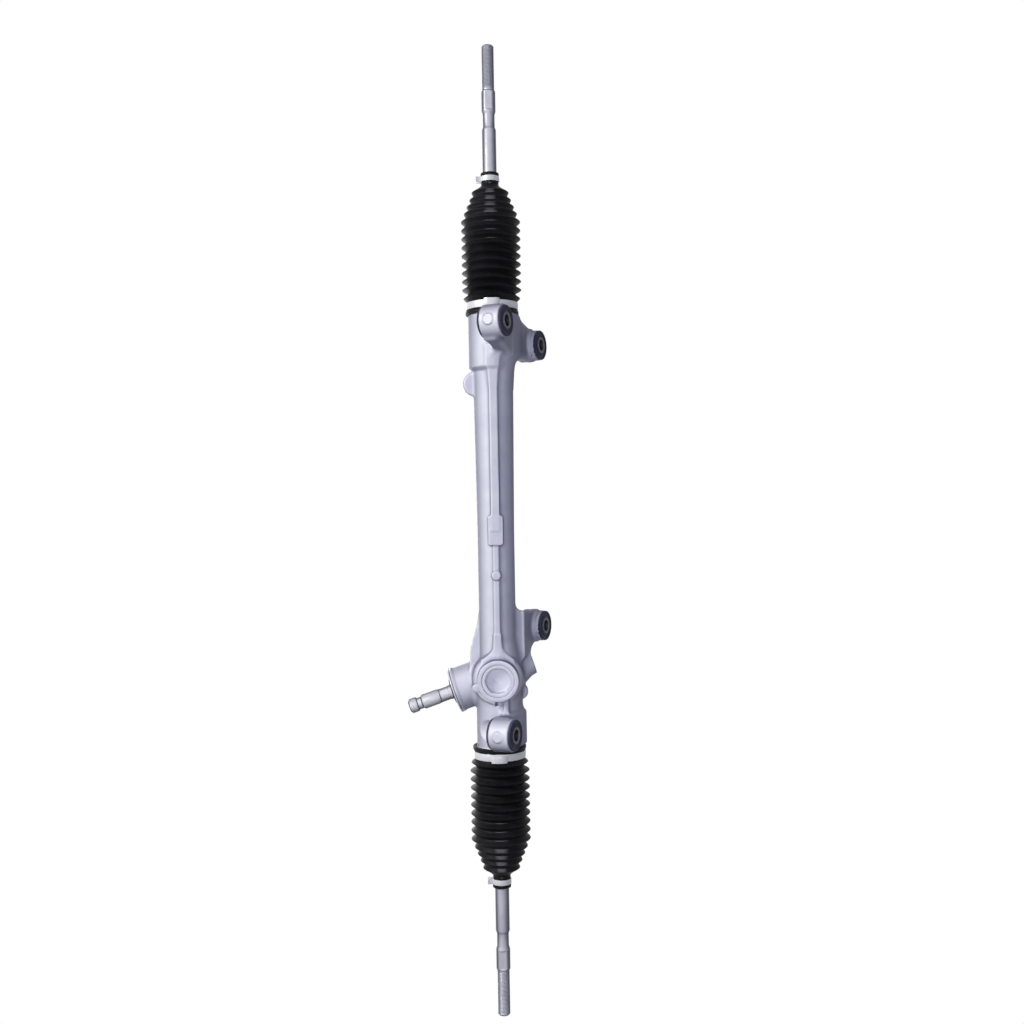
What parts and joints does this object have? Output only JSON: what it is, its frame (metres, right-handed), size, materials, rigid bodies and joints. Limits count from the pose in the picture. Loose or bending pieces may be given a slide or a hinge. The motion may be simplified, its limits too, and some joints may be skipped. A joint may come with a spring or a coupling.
{
  "type": "steering rack",
  "caption": "Rack-and-pinion steering gear: cast housing with rubber-bushed ears, splined pinion input, toothed rack, ball-jointed tie rods and rubber bellows.",
  "frame": {"origin": "middle of the object's box, on the plane of the four mounting sleeves' lower ends, which stand on the subframe", "axes": "+X along the rack, towards the end away from the pinion; +Z along the mounting bolts, away from the subframe; the yoke cap looks to -Y and the input shaft leans to +Z, -X and -Y"},
  "size_m": [1.1126, 0.1306, 0.1445],
  "materials": {
    "cast_housing": "as-cast satin",
    "plain_bush": "smooth",
    "spring_steel": "dark",
    "yoke_metal": "turned",
    "liner_resin": "matt",
    "cap_metal": "turned",
    "seal_rubber": "matt",
    "bearing_steel": "ground",
    "cage_resin": "matt",
    "shaft_steel": "turned",
    "rack_steel": "ground",
    "bush_rubber": "matt",
    "sleeve_steel": "dark coated",
    "rod_steel": "zinc plated",
    "bellows_rubber": "satin",
    "clamp_steel": "bright"
  },
  "bodies": {
    "housing": {"rack_housing": "cast_housing", "rack_bush": "plain_bush", "rack_bush_ring": "spring_steel", "rack_yoke": "yoke_metal", "yoke_liner": "liner_resin", "yoke_spring": "spring_steel", "yoke_cap": "cap_metal", "yoke_seal_ring": "seal_rubber", "bearing_outer_race": "bearing_steel", "bearing_nut": "cap_metal", "pinion_seal": "seal_rubber", "pinion_needle_bearing": "bearing_steel", "mount_rubber_far_front": "bush_rubber", "mount_rubber_far_rear": "bush_rubber", "mount_rubber_pinion_rear": "bush_rubber", "mount_rubber_pinion_front": "bush_rubber", "mount_sleeve_far_front": "sleeve_steel", "mount_sleeve_far_rear": "sleeve_steel", "mount_sleeve_pinion_rear": "sleeve_steel", "mount_sleeve_pinion_front": "sleeve_steel", "bellows_far": "bellows_rubber", "bellows_pinion": "bellows_rubber", "large_clamp_far": "clamp_steel", "large_clamp_pinion": "clamp_steel"},
    "rack": {"rack_bar": "rack_steel", "socket_far": "rack_steel", "socket_pinion": "rack_steel", "lock_washer_far": "spring_steel", "lock_washer_pinion": "spring_steel"},
    "pinion": {"pinion_shaft": "shaft_steel", "bearing_inner_race": "bearing_steel", "pinion_snap_ring": "spring_steel"},
    "ball_set": {"bearing_balls": "bearing_steel", "bearing_cage": "cage_resin"},
    "seat_far": {"ball_seat_far": "liner_resin"},
    "seat_pinion": {"ball_seat_pinion": "liner_resin"},
    "tie_rod_far": {"tie_rod_far": "rod_steel", "small_clip_far": "clamp_steel"},
    "tie_rod_pinion": {"tie_rod_pinion": "rod_steel", "small_clip_pinion": "clamp_steel"}
  },
  "joints": [
    {"name": "rack_slide", "type": "slide", "parent": "housing", "child": "rack", "axis": [1, 0, 0], "range_m": [-0.064, 0.064], "deforming": ["bellows_far", "bellows_pinion"]},
    {"name": "pinion_turn", "type": "hinge", "parent": "housing", "child": "pinion", "pos_m": [-0.168, 0.01319, 0.04715], "axis": [-0.3256, -0.3996, 0.8569], "range_deg": [-535, 535]},
    {"name": "ball_set_turn", "type": "hinge", "parent": "housing", "child": "ball_set", "pos_m": [-0.168, 0.01319, 0.04715], "axis": [-0.3256, -0.3996, 0.8569], "range_deg": [-205, 205]},
    {"name": "rod_lift_far", "type": "hinge", "parent": "rack", "child": "seat_far", "pos_m": [0.302, 0, 0.041], "axis": [0, 1, 0], "range_deg": [-12, 12]},
    {"name": "rod_sweep_far", "type": "hinge", "parent": "seat_far", "child": "tie_rod_far", "pos_m": [0.302, 0, 0.041], "axis": [0, 0, 1], "range_deg": [-8, 8]},
    {"name": "rod_lift_pinion", "type": "hinge", "parent": "rack", "child": "seat_pinion", "pos_m": [-0.302, 0, 0.041], "axis": [0, 1, 0], "range_deg": [-12, 12]},
    {"name": "rod_sweep_pinion", "type": "hinge", "parent": "seat_pinion", "child": "tie_rod_pinion", "pos_m": [-0.302, 0, 0.041], "axis": [0, 0, 1], "range_deg": [-8, 8]}
  ],
  "couplings": [
    {"joint": "pinion_turn", "follows": "rack_slide", "rad_per_m": 145.72},
    {"joint": "ball_set_turn", "follows": "rack_slide", "rad_per_m": 55.596}
  ]
}
